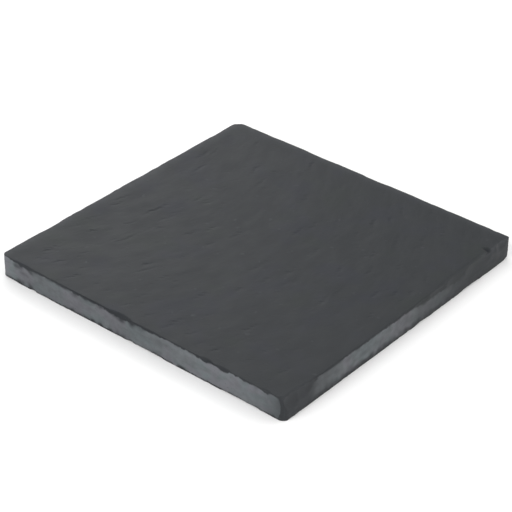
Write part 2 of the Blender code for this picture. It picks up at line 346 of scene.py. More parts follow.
@dataclass(frozen=True)
class Flake:
    """A flake off an arris, as an ellipsoid.

    In its own scaled frame the ellipsoid is a sphere that passes through the drop on the side and the inset
    on the face, and that meets the arris at the ends of the half length.
    """

    origin: Array
    outward: Array
    upward: float
    half_length: float
    drop: float
    inset: float
    hollow: float = 0.6

    @staticmethod
    def on_side(side: Side, place: float, level: float, half: float, sizes: tuple[float, ...]) -> "Flake":
        """A flake off one side's arris.

        Args:
            side: the side that it is on.
            place: where along the side, in millimetres; it runs along +X or +Y.
            level: height of the arris in metres, 0 for the lower one.
            half: half the slab's side in metres.
            sizes: half length, drop and inset in millimetres.

        Returns:
            The flake.
        """
        angle = math.radians(side.value)
        outward = np.array((math.cos(angle), math.sin(angle), 0.0))
        lengthways = np.abs(np.array((math.sin(angle), math.cos(angle), 0.0)))
        origin = outward * half + lengthways * place * MM + (0.0, 0.0, level)
        return Flake(origin, outward, 1.0 if level > 0 else -1.0, *(size * MM for size in sizes))

    @staticmethod
    def on_corner(
        signs: tuple[int, int], level: float, half: float, radius: float, sizes: tuple[float, ...]
    ) -> "Flake":
        """A flake across a corner of the top, where the rounded plan meets the diagonal.

        Args:
            signs: signs of the corner's X and Y.
            level: height of the face in metres.
            half: half the slab's side in metres.
            radius: radius of the corner in plan, in metres.
            sizes: half length, drop and inset in millimetres.

        Returns:
            The flake.
        """
        outward = np.array((signs[0], signs[1], 0.0)) / math.sqrt(2)
        reach = math.sqrt(2) * (half - radius) + radius
        return Flake(outward * reach + (0.0, 0.0, level), outward, 1.0, *(size * MM for size in sizes))

    def meet(self, points: Array, core: Array) -> tuple[Array, Array]:
        """Where each line from the core to a point enters the ellipsoid, and how clear the point is of it.

        Args:
            points: the surface's points, one to a row.
            core: the core point that each is pulled towards.

        Returns:
            The share of the line that is kept, 1 where it misses, and the clearance down the side in metres,
            below 0 inside the ellipsoid.
        """
        lengthways = np.array((-self.outward[1], self.outward[0], 0.0))
        upward = np.array((0.0, 0.0, self.upward))
        radius = math.hypot(self.hollow, 1 + self.hollow)
        length_scale = math.sqrt(radius**2 - 2 * self.hollow**2)
        scales = np.array((self.half_length / length_scale, self.inset, self.drop))
        axes = np.array((lengthways, self.outward, upward)).T / scales
        start = (core - self.origin) @ axes - (0.0, self.hollow, self.hollow)
        path = (points - core) @ axes
        a = np.einsum("ij,ij->i", path, path)
        b = np.einsum("ij,ij->i", path, start)
        c = np.einsum("ij,ij->i", start, start) - radius**2
        inside = b * b - a * c
        hit = (inside > 0) & (c > 0) & (b < 0)
        share = np.ones(len(points))
        share[hit] = (-b[hit] - np.sqrt(inside[hit])) / a[hit]
        from_centre = np.linalg.norm(start + path, axis=1)
        return np.minimum(share, 1.0), (from_centre - radius) * self.drop * radius / (1 + self.hollow)


class FlakeScatter(NamedTuple):
    """Small flakes along every arris: their spacings, half lengths, drops above and below, and insets.

    All are ranges in millimetres.
    """

    steps: tuple[float, float]
    half_lengths: tuple[float, float]
    top_drops: tuple[float, float]
    under_drops: tuple[float, float]
    insets: tuple[float, float]
    seed: int

    def flakes(self, level: float, half: float) -> list[Flake]:
        """The seeded flakes along the four sides at one level.

        Args:
            level: height of the arrises in metres, 0 for the lower ones.
            half: half the slab's side in metres.

        Returns:
            The flakes, side by side.
        """
        rng = np.random.default_rng(self.seed if level > 0 else self.seed + 1)
        ranges = (self.half_lengths, self.top_drops if level > 0 else self.under_drops, self.insets)
        made = []
        for side in Side:
            place = -half / MM
            while place < half / MM:
                place += rng.uniform(*self.steps)
                sizes = tuple(rng.uniform(*limits) for limits in ranges)
                made.append(Flake.on_side(side, place, level, half, sizes))
        return made


FlakeRows = tuple[tuple[Side, tuple[tuple[float, float, float, float], ...]], ...]


@dataclass
class Arrises:
    """The flaked edges of the slab.

    For each side, a row gives a flake's place, half length, drop and inset in millimetres. For each corner,
    a row gives the signs of its X and Y and the same three sizes. A flake is looked at near itself alone:
    within its half length, some drops and a margin.
    """

    top: FlakeRows = (
        (Side.FRONT, (
            (-41.2, 4.6, 1.0, 0.45), (-35.0, 2.6, 0.6, 0.25), (-29.0, 3.4, 0.5, 0.25),
            (-22.0, 3.0, 0.5, 0.20), (-14.0, 5.0, 0.6, 0.30), (-5.5, 4.6, 0.8, 1.00),
            (5.0, 5.0, 0.6, 0.30), (14.5, 4.0, 0.5, 0.25), (24.2, 2.4, 0.8, 0.80),
            (29.9, 2.9, 0.8, 0.70), (36.5, 4.0, 0.3, 0.20), (43.7, 1.8, 0.7, 0.60),
        )),
        (Side.RIGHT, (
            (-47.5, 5.0, 4.4, 1.30), (-43.0, 5.5, 3.4, 0.90), (-37.6, 3.0, 1.6, 0.55),
            (-30.0, 4.4, 1.0, 0.40), (-22.5, 5.0, 0.9, 0.35), (-14.0, 5.2, 1.0, 0.40),
            (-6.0, 4.6, 1.1, 0.40), (1.5, 4.6, 1.0, 0.40), (8.5, 5.0, 1.6, 0.50),
            (16.0, 6.0, 2.2, 0.60), (24.0, 6.5, 3.0, 0.80), (34.5, 8.5, 4.2, 0.80),
            (42.0, 6.5, 1.6, 1.00), (40.3, 1.2, 0.9, 3.00), (45.8, 3.4, 2.6, 1.05),
        )),
        (Side.BACK, (
            (38.0, 6.0, 1.1, 0.18), (22.0, 7.5, 0.9, 0.20), (3.0, 6.0, 1.3, 0.30),
            (-17.0, 8.0, 1.0, 0.25), (-36.0, 5.0, 1.5, 0.25),
        )),
        (Side.LEFT, (
            (40.0, 5.0, 1.2, 0.18), (24.0, 8.0, 0.9, 0.16), (7.0, 5.0, 1.4, 0.22),
            (-12.0, 8.0, 1.0, 0.20), (-31.0, 6.0, 1.6, 0.30),
        )),
    )
    under: FlakeRows = (
        (Side.FRONT, (
            (-48.0, 5.0, 0.22, 0.45), (-38.0, 1.4, 0.4, 0.40), (-2.0, 1.8, 0.5, 0.45),
            (31.8, 1.4, 0.3, 0.30),
        )),
        (Side.RIGHT, (
            (8.0, 2.4, 0.5, 0.35), (30.0, 4.0, 0.5, 0.35), (49.6, 1.6, 1.0, 0.50),
        )),
        (Side.BACK, (
            (12.0, 3.0, 1.0, 1.00), (-30.0, 4.2, 0.8, 1.00),
        )),
        (Side.LEFT, (
            (22.0, 3.6, 0.9, 1.10), (-20.0, 2.6, 0.7, 0.80), (-49.2, 2.2, 1.3, 0.90),
        )),
    )
    corners: tuple[tuple[tuple[int, int], float, float, float], ...] = (
        ((1, -1), 3.6, 0.9, 1.20),
        ((1, 1), 1.4, 0.4, 0.20),
        ((-1, 1), 2.6, 0.6, 0.30),
        ((-1, -1), 1.8, 0.7, 0.25),
    )
    scatters: tuple[FlakeScatter, ...] = (
        FlakeScatter((1.25, 4.95), (0.8, 2.6), (0.15, 0.55), (0.08, 0.30), (0.08, 0.26), 51),
        FlakeScatter((0.4, 1.6), (0.3, 1.0), (0.08, 0.34), (0.05, 0.20), (0.04, 0.14), 61),
    )
    near_drops: float = 4.0
    near_margin: float = 2 * MM
    most_clear: float = 5 * MM

    def flakes(self, thickness: float, half: float, radii: tuple[float, ...]) -> list[Flake]:
        """Every flake of the slab.

        Args:
            thickness: height of the top in metres.
            half: half the slab's side in metres.
            radii: radius of each corner in plan, in metres, X before Y and minus before plus.

        Returns:
            The listed flakes, then the scattered ones.
        """
        made = [
            Flake.on_side(side, row[0], level, half, row[1:])
            for level, sides in ((thickness, self.top), (0.0, self.under))
            for side, rows in sides
            for row in rows
        ]
        for signs, *sizes in self.corners:
            radius = radii[(signs[0] > 0) + 2 * (signs[1] > 0)]
            made.append(Flake.on_corner(signs, thickness, half, radius, tuple(sizes)))
        for scatter in self.scatters:
            made += scatter.flakes(thickness, half)
            made += scatter.flakes(0.0, half)
        return made

    def strike(self, points: Array, core: Array, flakes: list[Flake]) -> tuple[Array, Array]:
        """Points pulled along their lines to the core until they are out of every flake.

        Args:
            points: the surface's points, one to a row.
            core: the core point that each is pulled towards.
            flakes: the flakes to take off.

        Returns:
            The new points, and how clear each old one was of the nearest flake, in metres.
        """
        share = np.ones(len(points))
        clear = np.full(len(points), self.most_clear)
        for flake in flakes:
            reach = flake.half_length + self.near_drops * flake.drop + self.near_margin
            near = np.linalg.norm(points - flake.origin, axis=1) < reach
            kept, clearance = flake.meet(points[near], core[near])
            share[near] = np.minimum(share[near], kept)
            clear[near] = np.minimum(clear[near], clearance)
        return core + (points - core) * share[:, None], clear


@dataclass(frozen=True)
class EasedArris:
    """A top arris worn round: its radii in millimetres at places along its side."""

    side: Side = Side.RIGHT
    places: tuple[float, ...] = (-50.0, -46.0, -41.0, -37.0, 8.0, 13.0, 20.0, 36.0, 44.0, 50.0)
    radii: tuple[float, ...] = (1.6, 1.9, 1.4, 0.3, 0.3, 0.9, 1.6, 1.7, 1.0, 0.3)

    def ease(self, points: Array, thickness: float, half: float) -> Array:
        """Round the arris, in the square of its own radius.

        Args:
            points: the surface's points, one to a row.
            thickness: height of the top in metres.
            half: half the slab's side in metres.

        Returns:
            The moved points.
        """
        axis, sign = (0, 1) if self.side is Side.RIGHT else (1, -1)
        radius = np.interp(points[:, 1 - axis] / MM, self.places, self.radii) * MM
        out = points[:, axis] * sign - half + radius
        up = points[:, 2] - thickness + radius
        pull = corner_pull(out, up)
        eased = points.copy()
        eased[:, axis] -= sign * out * pull
        eased[:, 2] -= up * pull
        return eased


@dataclass(frozen=True)
class SideTone:
    """How one cut side shows. All lengths are in millimetres.

    At places along the side, the rows say how pale its cut face is and how dark the line under its top arris
    is, both from 0 to 1, and "bands" that line's height. That dark line is painted shade under the arris,
    with the darker colour of fresh breaks. The line is at its darkest down to "reach", and gone at twice as
    far. The pale part leans with the height and is mottled by a share of itself. It fades in under the line
    and round the flakes over "softs", and from below over "foot", a painted shade towards the floor, with
    ragged edges.
    The flakes spare it for their first "spare", and it ends in a bulge at "end".
    """

    side: Side
    places: tuple[float, ...]
    pale: tuple[float, ...]
    # How dark the line under the top arris shows: darker fresh breaks and painted shade.
    flake_dark_and_painted_shade: tuple[float, ...]
    bands: tuple[float, ...]
    softs: tuple[float, ...]
    reach: float = 1.2
    spare: float = 0.0
    # How high the pale comes in from the floor: painted shade towards the floor.
    foot: float = 0.6
    mottle: float = 0.2
    lean: float = 0.0
    end: float = 60.0
    bulge: float = 0.9
    fade_start: float = 0.35
    fade_ragged: float = 0.55
    foot_start: float = -0.2
    foot_ragged: float = 0.8

    def along(self, place: Array, values: tuple[float, ...]) -> Array:
        """Values that are given at its places, at any place along the side."""
        return np.interp(place, self.places, values)

    def below(self, place: Array, depth: Array, clear: Array) -> Array:
        """How far points are under the dark line and out of the flakes, whichever is less."""
        return np.minimum(depth - self.along(place, self.bands), clear + self.spare)

    def paleness(self, place: Array, z: Array, middle: float, below: Array, mottle: Array) -> Array:
        """How pale its cut face is.

        Args:
            place: place along the side.
            z: height over the resting plane.
            middle: half the slab's thickness.
            below: how far under the dark line and out of the flakes.
            mottle: the mottling's noise, about -1 to 1.

        Returns:
            The paleness, 0 or more, one to a point.
        """
        soft = self.along(place, self.softs)
        inside = smooth_step(below / soft + self.fade_start + self.fade_ragged * mottle)
        # Painted shade: the pale fades out towards the floor.
        inside *= smooth_step((z + self.foot_ragged * mottle) / self.foot + self.foot_start)
        leaned = place - self.lean * (z - middle)
        return inside * self.along(leaned, self.pale) * (1 + self.mottle * mottle)

    def short_of_end(self, place: Array, z: Array, middle: float) -> Array:
        """How far points are short of the pale part's end, which bulges most at mid height."""
        return self.end + self.bulge * (1 - ((z - middle) / middle) ** 2) - place


@dataclass(frozen=True)
class PaintedArrisHighlight:
    """A painted highlight: a paler band along a top arris, how strong from 0 to 1 at places along its side,
    and how far in and down.

    Lengths are in millimetres.
    """

    side: Side
    places: tuple[float, ...]
    shares: tuple[float, ...]
    inwards: float
    down: float

    def share(self, points: Array, thickness: float, half: float) -> Array:
        """How much painted highlight each point takes, as a bell curve with its way in and down from the
        arris.

        Args:
            points: the surface's points, one to a row.
            thickness: height of the top in metres.
            half: half the slab's side in metres.

        Returns:
            The share from 0 to 1, one to a point.
        """
        x, y, z = points.T
        angle = math.radians(self.side.value)
        out = x * math.cos(angle) + y * math.sin(angle)
        lengthways = y if self.side in (Side.RIGHT, Side.LEFT) else x
        gap = np.hypot((half - out) / self.inwards, (thickness - z) / self.down) / MM
        return np.interp(lengthways / MM, self.places, self.shares) * np.exp(-gap * gap)


def triangles(*corners: tuple[Indices, Indices, Indices]) -> Indices:
    """Triangles from sets of three rows of corners, one set after another."""
    return np.concatenate([np.column_stack(rows) for rows in corners])


@dataclass
class BlockGrid:
    """The unit cube's surface as one closed mesh: a fine top, rows up the sides and a coarser underside.

    The top has cells x cells squares. Rings of 4 x cells points go down the sides and in under the slab, and
    a ring of triangles, two to one, joins the last of them to an underside with half as many squares a side.
    """

    cells: int = 252
    bend: float = 0.60
    side_rows: tuple[float, ...] = (
        0.965, 0.925, 0.880, 0.825, 0.755, 0.670, 0.570, 0.460, 0.350, 0.250, 0.165, 0.095, 0.040,
    )
    under_rings: tuple[float, ...] = (0.996, 0.989, 0.978)
    coarse_scale: float = 0.962

    def spread(self, t: Array) -> Array:
        """A grid place from -1 to 1, moved along a sine so that the cells are finer near both ends."""
        return np.sin(t * self.bend * math.pi / 2) / math.sin(self.bend * math.pi / 2)

    def square(self, cells: int, scale: float) -> Array:
        """Points of a square grid.

        Args:
            cells: how many cells it has a side.
            scale: how far it reaches from the middle.

        Returns:
            Its x and y, row by row from the lowest corner.
        """
        line = self.spread(np.linspace(-1.0, 1.0, cells + 1)) * scale
        x, y = np.meshgrid(line, line)
        return np.column_stack((x.ravel(), y.ravel()))

    @staticmethod
    def border(cells: int) -> Indices:
        """Numbers of a square grid's border points.

        Args:
            cells: how many cells it has a side.

        Returns:
            The numbers, anticlockwise from the lowest corner.
        """
        run = np.arange(cells)
        step = cells + 1
        return np.concatenate((run, cells + run * step, cells * step + cells - run, (cells - run) * step))

    @staticmethod
    def quads(cells: int, first: int, flip: bool) -> Indices:
        """Two triangles for each square of a grid.

        Args:
            cells: how many cells it has a side.
            first: number of its first point.
            flip: whether they face down.

        Returns:
            The triangles.
        """
        column, row = np.meshgrid(np.arange(cells), np.arange(cells))
        a = (first + row * (cells + 1) + column).ravel()
        b, c, d = a + 1, a + cells + 2, a + cells + 1
        faces = triangles((a, b, c), (a, c, d))
        return faces[:, ::-1] if flip else faces

    @staticmethod
    def band(upper: Indices, lower: Indices) -> Indices:
        """Two triangles for each step between two rings of the same length, facing out."""
        next_upper, next_lower = np.roll(upper, -1), np.roll(lower, -1)
        return triangles((upper, lower, next_lower), (upper, next_lower, next_upper))

    @staticmethod
    def reducing_band(outer: Indices, inner: Indices) -> Indices:
        """Three triangles for each step of a ring that has half as many points as the one round it.

        Args:
            outer: numbers of the outer ring's points.
            inner: numbers of the inner ring's points.

        Returns:
            The triangles.
        """
        first, middle, last = outer[0::2], outer[1::2], np.roll(outer, -2)[0::2]
        next_inner = np.roll(inner, -1)
        return triangles((first, inner, middle), (middle, inner, next_inner), (middle, next_inner, last))

    def build(self) -> tuple[Array, Indices]:
        """The mesh of the unit cube.

        Returns:
            Its points from -1 to 1 in plan and 0 to 1 in height, and its triangles.
        """
        top = self.square(self.cells, 1.0)
        points = [np.column_stack((top, np.ones(len(top))))]
        faces = [self.quads(self.cells, 0, False)]
        ring = self.border(self.cells)
        outline = top[ring]
        count = len(top)
        levels = [(1.0, height) for height in self.side_rows] + [(1.0, 0.0)]
        levels += [(scale, 0.0) for scale in self.under_rings]
        for scale, height in levels:
            points.append(np.column_stack((outline * scale, np.full(len(outline), height))))
            lower = count + np.arange(len(outline))
            faces.append(self.band(ring, lower))
            ring = lower
            count += len(outline)
        half_cells = self.cells // 2
        under = self.square(half_cells, self.coarse_scale)
        points.append(np.column_stack((under, np.zeros(len(under)))))
        faces.append(self.reducing_band(ring, count + self.border(half_cells)))
        faces.append(self.quads(half_cells, count, True))
        return np.vstack(points), np.vstack(faces)


class Fractal(NamedTuple):
    """A fractal noise: the number of its cells to a millimetre, each way.

    "detail" says how many finer noises are added, and "rough" how strong each is beside the one before.
    """

    cells: tuple[float, float, float]
    detail: float = 2.0
    rough: float = 0.5


class Sheet:
    """A material's node tree, with short calls to add nodes and join them.

    What is fed to a socket is a number, a vector, a colour or the output of another node.
    """

    def __init__(self, name: str) -> None:
        """Start a material that holds one Principled shader.

        Args:
            name: the material's name.
        """
        self.material = bpy.data.materials.new(name)
        self.material.use_nodes = True
        self.tree = self.material.node_tree
        self.shader = self.tree.nodes["Principled BSDF"]

    def add(self, kind: str, **settings: object) -> bpy.types.Node:
        """Add a node and set its properties.

        Args:
            kind: the node's type name.
            settings: its properties by name.

        Returns:
            The node.
        """
        node = self.tree.nodes.new(kind)
        for name, value in settings.items():
            setattr(node, name, value)
        return node

    def feed(self, socket: Socket, value: object) -> None:
        """Set a socket, or link an output to it.

        Args:
            socket: the input that is fed.
            value: what is fed to it.
        """
        if isinstance(value, Socket):
            self.tree.links.new(value, socket)
        elif isinstance(value, tuple) and socket.type == "RGBA":
            socket.default_value = (*value[:3], 1.0)
        else:
            socket.default_value = value

    def attribute(self, name: str, vector: bool = False) -> Socket:
        """One of the mesh's own attributes."""
        node = self.add("ShaderNodeAttribute", attribute_name=name, attribute_type="GEOMETRY")
        return node.outputs["Vector" if vector else "Fac"]

    def math(self, kind: str, *values: object, clamp: bool = False) -> Socket:
        """A sum on up to three values.

        Args:
            kind: the operation's name.
            values: what it works on.
            clamp: whether the result is held from 0 to 1.

        Returns:
            The result.
        """
        node = self.add("ShaderNodeMath", operation=kind, use_clamp=clamp)
        for socket, value in zip(node.inputs, values):
            self.feed(socket, value)
        return node.outputs[0]

    def noise(self, vector: Socket, grains: Fractal) -> Socket:
        """Fractal noise from 0 to 1.

        Args:
            vector: a place in millimetres.
            grains: the noise's cells, detail and roughness.

        Returns:
            The noise.
        """
        scaled = self.add("ShaderNodeVectorMath", operation="MULTIPLY")
        self.feed(scaled.inputs[0], vector)
        scaled.inputs[1].default_value = grains.cells
        node = self.add("ShaderNodeTexNoise", noise_dimensions="3D")
        self.feed(node.inputs["Vector"], scaled.outputs[0])
        for name, value in (("Scale", 1.0), ("Detail", grains.detail), ("Roughness", grains.rough)):
            node.inputs[name].default_value = value
        return node.outputs["Fac"]

    def fade(
        self, value: object, low: float, high: float, to_low: float = 0.0, to_high: float = 1.0
    ) -> Socket:
        """A value carried smoothly from one range to another and held at both ends.

        Args:
            value: the value.
            low: where its range starts.
            high: where its range ends.
            to_low: what the start becomes.
            to_high: what the end becomes.

        Returns:
            The carried value.
        """
        node = self.add("ShaderNodeMapRange", interpolation_type="SMOOTHSTEP", clamp=True)
        names = ("Value", "From Min", "From Max", "To Min", "To Max")
        for name, given in zip(names, (value, low, high, to_low, to_high)):
            self.feed(node.inputs[name], given)
        return node.outputs["Result"]

    def blend(self, share: object, first: object, second: object) -> Socket:
        """A colour between two colours.

        Args:
            share: how much of the second there is, from 0 to 1.
            first: the first colour.
            second: the second colour.

        Returns:
            The colour.
        """
        node = self.add("ShaderNodeMix", data_type="RGBA")
        self.feed(node.inputs["Factor"], share)
        colours = [socket for socket in node.inputs if socket.type == "RGBA"]
        self.feed(colours[0], first)
        self.feed(colours[1], second)
        return next(socket for socket in node.outputs if socket.type == "RGBA")


class StoneSheet(Sheet):
    """A stone's node tree, with its two vectors in millimetres: the place, and the place by the grain."""

    def __init__(self, name: str) -> None:
        """Start the material, and read where each point is and where it is across and along the grain.

        Args:
            name: the material's name.
        """
        super().__init__(name)
        scaled = self.add("ShaderNodeVectorMath", operation="SCALE")
        self.feed(scaled.inputs[0], self.add("ShaderNodeTexCoord").outputs["Object"])
        scaled.inputs["Scale"].default_value = 1 / MM
        self.place = scaled.outputs[0]
        self.grain = self.attribute("grain", vector=True)


class Cloud(NamedTuple):
    """A patchy mask: a noise, and the range of it over which the mask goes from "least" to "most"."""

    grains: Fractal
    low: float
    high: float
    most: float = 1.0
    least: float = 0.0

    def mask(self, sheet: Sheet, vector: Socket) -> Socket:
        """The mask, over a vector in millimetres."""
        return sheet.fade(sheet.noise(vector, self.grains), self.low, self.high, self.least, self.most)


class Tint(NamedTuple):
    """A colour that shows through a cloud."""

    colour: Colour
    cloud: Cloud


@dataclass(frozen=True)
class SlateFinish:
    """Slate: a dark cleft skin with a low sheen, darker fresh flakes, and paler matt cut sides.

    The skin is worn along its grain and tinted blue and green, with pale crumbs and a painted highlight along
    some top arrises; its darker fresh flakes also carry painted shade under the arrises and along the floor.
    The cut sides are tinted in dim layers, teal and rosy clouds, and specks of the skin's colour. The mesh
    gives the finish "grain", the place across and along the grain in millimetres, and the values that the
    slab's shade works out.
    """

    skin: Colour = (0.0268, 0.0292, 0.0320)
    skin_worn: Tint = Tint((0.0300, 0.0325, 0.0352), Cloud(Fractal((0.22, 0.09, 0.3), 3.0), 0.35, 0.72))
    # Paler skin: for pale patches, and for the painted highlight along the top arrises.
    skin_pale_and_highlight: Tint = Tint(
        (0.0470, 0.0500, 0.0550), Cloud(Fractal((0.5, 0.5, 0.5), 3.0, 0.6), 0.32, 0.66, least=0.45)
    )
    skin_tints: tuple[Tint, ...] = (
        Tint((0.0272, 0.0292, 0.0375), Cloud(Fractal((0.085, 0.085, 0.1)), 0.50, 0.70, 0.45)),
        Tint((0.0280, 0.0325, 0.0310), Cloud(Fractal((0.07, 0.10, 0.2)), 0.53, 0.72, 0.45)),
        Tint(skin_pale_and_highlight.colour, Cloud(Fractal((0.42, 0.42, 0.6), 1.5), 0.68, 0.80, 0.45)),
    )
    # Dark of fresh breaks, also laid on as painted shade under the top arrises, in a notch and along the
    # floor.
    flake: Colour = (0.0170, 0.0190, 0.0220)
    cut: Colour = (0.128, 0.138, 0.146)
    cut_tints: tuple[Tint, ...] = (
        Tint((0.090, 0.096, 0.101), Cloud(Fractal((0.15, 0.15, 0.5), rough=0.45), 0.46, 0.68, 0.6)),
        Tint((0.106, 0.136, 0.140), Cloud(Fractal((0.13, 0.13, 0.25)), 0.48, 0.62, 0.28)),
        Tint((0.134, 0.130, 0.146), Cloud(Fractal((0.17, 0.17, 0.21)), 0.48, 0.62, 0.6)),
        Tint(skin, Cloud(Fractal((1.9, 1.9, 2.6)), 0.66, 0.74, 0.3)),
    )
    teeth: Fractal = Fractal((0.55, 0.55, 0.8))
    tooth_size: float = 1.5
    fray: Fractal = Fractal((2.2, 2.2, 3.0), rough=0.6)
    fray_size: float = 0.6
    crisp_edge: tuple[float, float] = (-0.05, 0.28)
    chalk: Fractal = Fractal((0.9, 0.9, 1.2), 3.0, 0.6)
    chalk_share: float = 0.42
    satin: Cloud = Cloud(Fractal((0.4, 0.18, 0.5), 3.0), 0.3, 0.7, most=0.55, least=0.49)
    cut_roughness: float = 0.75
    sheen_level: float = 0.125
    ripples: Fractal = Fractal((0.6, 0.35, 0.8), 3.0)
    ripple_height: float = 0.6
    grit: Fractal = Fractal((3.5, 3.5, 5.0), 3.0, 0.6)
    grit_on_skin: float = 0.3
    crumbs: Cloud = Cloud(Fractal((1.1, 1.1, 1.4)), 0.60, 0.74)
    crumb_height: float = 0.9
    bump_strength: float = 0.5
    bump_height: float = 0.03 * MM

    def material(self) -> bpy.types.Material:
        """Build the material.

        Returns:
            The slate material.
        """
        sheet = StoneSheet("slate")
        shader = sheet.shader.inputs
        cut = self.cut_mask(sheet)
        sheet.feed(shader["Base Color"], sheet.blend(cut, self.skin_colour(sheet), self.cut_colour(sheet)))
        sheet.feed(shader["Roughness"], self.roughness(sheet, cut))
        sheet.feed(shader["Normal"], self.bump(sheet, cut))
        shader["Specular IOR Level"].default_value = self.sheen_level
        return sheet.material

    def cut_mask(self, sheet: StoneSheet) -> Socket:
        """The mask of the cut sides, with a jagged edge.

        Args:
            sheet: the material's node tree.

        Returns:
            1 on the pale cut sides and 0 elsewhere, and less than 1 where a side shows dark.
        """
        edge = sheet.attribute("cut_clear")
        for grains, size in ((self.teeth, self.tooth_size), (self.fray, self.fray_size)):
            jag = sheet.math("MULTIPLY_ADD", sheet.noise(sheet.place, grains), size, -size / 2)
            edge = sheet.math("ADD", edge, jag)
        crisp = sheet.fade(edge, *self.crisp_edge)
        chalk = sheet.math("SUBTRACT", sheet.noise(sheet.place, self.chalk), 0.5)
        pale = sheet.attribute("pale")
        mottled = sheet.math("MULTIPLY_ADD", sheet.math("MULTIPLY", pale, chalk), self.chalk_share, pale)
        return sheet.math("MULTIPLY", crisp, mottled, clamp=True)

    @staticmethod
    def tinted(sheet: StoneSheet, colour: object, tints: tuple[Tint, ...]) -> object:
        """A colour with tints laid over it in turn.

        Args:
            sheet: the material's node tree.
            colour: the colour.
            tints: the tints.

        Returns:
            The tinted colour.
        """
        for tint in tints:
            colour = sheet.blend(tint.cloud.mask(sheet, sheet.place), colour, tint.colour)
        return colour

    def skin_colour(self, sheet: StoneSheet) -> Socket:
        """The cleft skin: worn streaks, tints, painted highlight on arrises, dark flakes and painted shade.

        Args:
            sheet: the material's node tree.

        Returns:
            The colour.
        """
        streaks = self.skin_worn.cloud.mask(sheet, sheet.grain)
        colour = self.tinted(sheet, sheet.blend(streaks, self.skin, self.skin_worn.colour), self.skin_tints)
        # Painted highlight: a patchy paler band along some top arrises.
        highlight_patches = self.skin_pale_and_highlight.cloud.mask(sheet, sheet.place)
        painted_arris_highlight = sheet.math("MULTIPLY", sheet.attribute("painted_arris_highlight"), highlight_patches)
        colour = sheet.blend(painted_arris_highlight, colour, self.skin_pale_and_highlight.colour)
        # Darker fresh breaks and painted shade: under the top arrises, in a notch, and along the floor.
        return sheet.blend(sheet.attribute("flake_dark_and_painted_shade"), colour, self.flake)

    def cut_colour(self, sheet: StoneSheet) -> Socket:
        """The cut sides: pale stone and its tints."""
        return self.tinted(sheet, self.cut, self.cut_tints)

    def roughness(self, sheet: StoneSheet, cut: Socket) -> Socket:
        """Satin on the skin, in streaks along the grain, and matt on the cut sides."""
        skin = self.satin.mask(sheet, sheet.grain)
        return sheet.math("MULTIPLY_ADD", sheet.math("SUBTRACT", self.cut_roughness, skin), cut, skin)

    def bump(self, sheet: StoneSheet, cut: Socket) -> Socket:
        """Fine relief under the mesh's own: faint ripples along the grain, crumbs and grit.

        Args:
            sheet: the material's node tree.
            cut: the mask of the cut sides.

        Returns:
            The normal.
        """
        ripples = sheet.noise(sheet.grain, self.ripples)
        grit = sheet.noise(sheet.place, self.grit)
        grit_height = sheet.math("MULTIPLY_ADD", cut, 1 - self.grit_on_skin, self.grit_on_skin)
        rippled = sheet.math("MULTIPLY", ripples, self.ripple_height)
        gritty = sheet.math("MULTIPLY_ADD", grit, grit_height, rippled)
        crumbs = self.crumbs.mask(sheet, sheet.place)
        height = sheet.math("MULTIPLY_ADD", crumbs, self.crumb_height, gritty)
        node = sheet.add("ShaderNodeBump")
        node.inputs["Strength"].default_value = self.bump_strength
        node.inputs["Distance"].default_value = self.bump_height
        sheet.feed(node.inputs["Height"], height)
        return node.outputs["Normal"]


